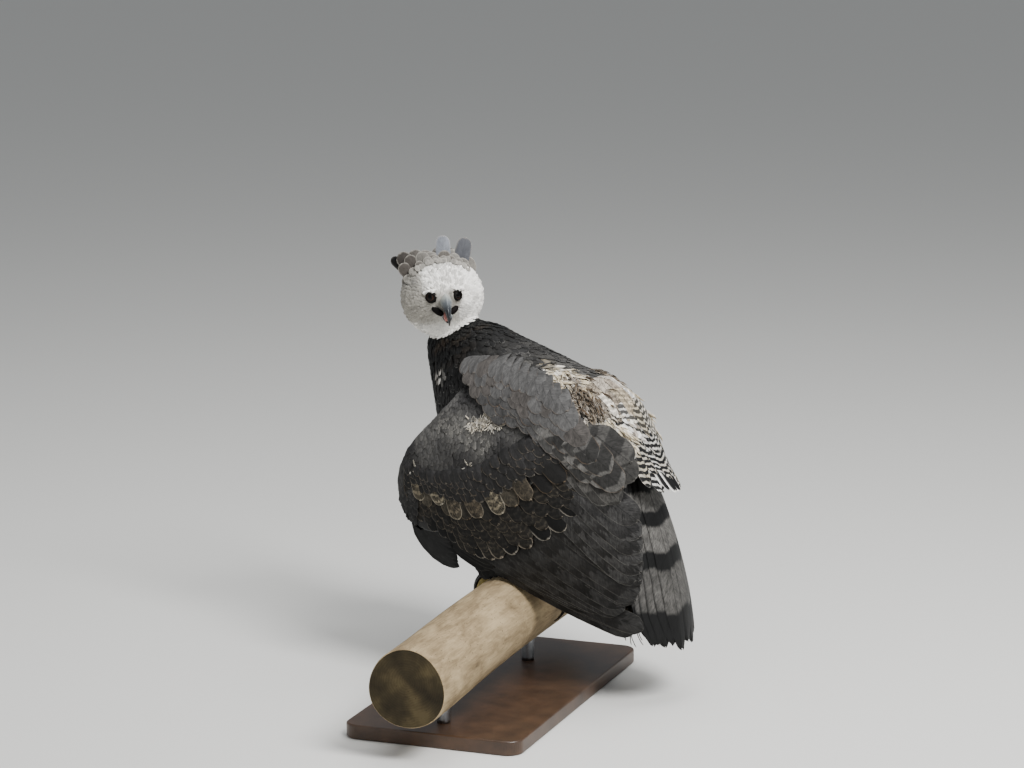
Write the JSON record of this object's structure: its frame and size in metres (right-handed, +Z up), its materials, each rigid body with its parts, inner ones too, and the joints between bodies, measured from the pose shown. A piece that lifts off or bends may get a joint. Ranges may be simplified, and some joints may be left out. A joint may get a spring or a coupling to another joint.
{
  "type": "harpy eagle museum model",
  "caption": "Life-size adult harpy eagle gripping a cut log, head turned back over its left shoulder, on a flat base with rods.",
  "frame": {"origin": "middle of the base's underside", "axes": "+Z up; the bird faces -Y with its left side at +X and its head turned back over the left shoulder"},
  "size_m": [0.7284, 0.5766, 0.7399],
  "materials": {
    "pale_feathers": "soft matt contour feathers, pale grey to white",
    "dark_feathers": "soft matt contour feathers, slate black",
    "mottled_feathers": "soft matt contour feathers and down, slate, white and buff",
    "flight_feathers": "close-webbed flight feathers with a slight sheen, slate with grey bars",
    "bill_horn": "polished dark horn",
    "claw_horn": "polished black horn",
    "mouth_flesh": "moist pink flesh",
    "eye": "wet, dark brown iris and black pupil under a clear cornea",
    "leg_scales": "dull yellow scaled skin",
    "weathered_wood": "smooth, weathered, grey-brown barkless log",
    "stand_steel": "satin",
    "stand_wood": "dark stained, satin varnish"
  },
  "bodies": {
    "root": {"head": "pale_feathers", "eye_left": "eye", "eye_right": "eye", "bill_upper": "bill_horn", "bill_lower": "bill_horn", "tongue": "mouth_flesh", "neck": "dark_feathers", "torso": "mottled_feathers", "tail": "flight_feathers", "wing_left": "flight_feathers", "wing_right": "flight_feathers", "thigh_left": "pale_feathers", "shank_left": "leg_scales", "foot_left": "leg_scales", "claw_left_inner": "claw_horn", "claw_left_middle": "claw_horn", "claw_left_outer": "claw_horn", "claw_left_hind": "claw_horn", "thigh_right": "pale_feathers", "shank_right": "leg_scales", "foot_right": "leg_scales", "claw_right_inner": "claw_horn", "claw_right_middle": "claw_horn", "claw_right_outer": "claw_horn", "claw_right_hind": "claw_horn", "perch_log": "weathered_wood", "stand_rod_1": "stand_steel", "stand_rod_2": "stand_steel", "stand_base": "stand_wood"}
  },
  "joints": []
}
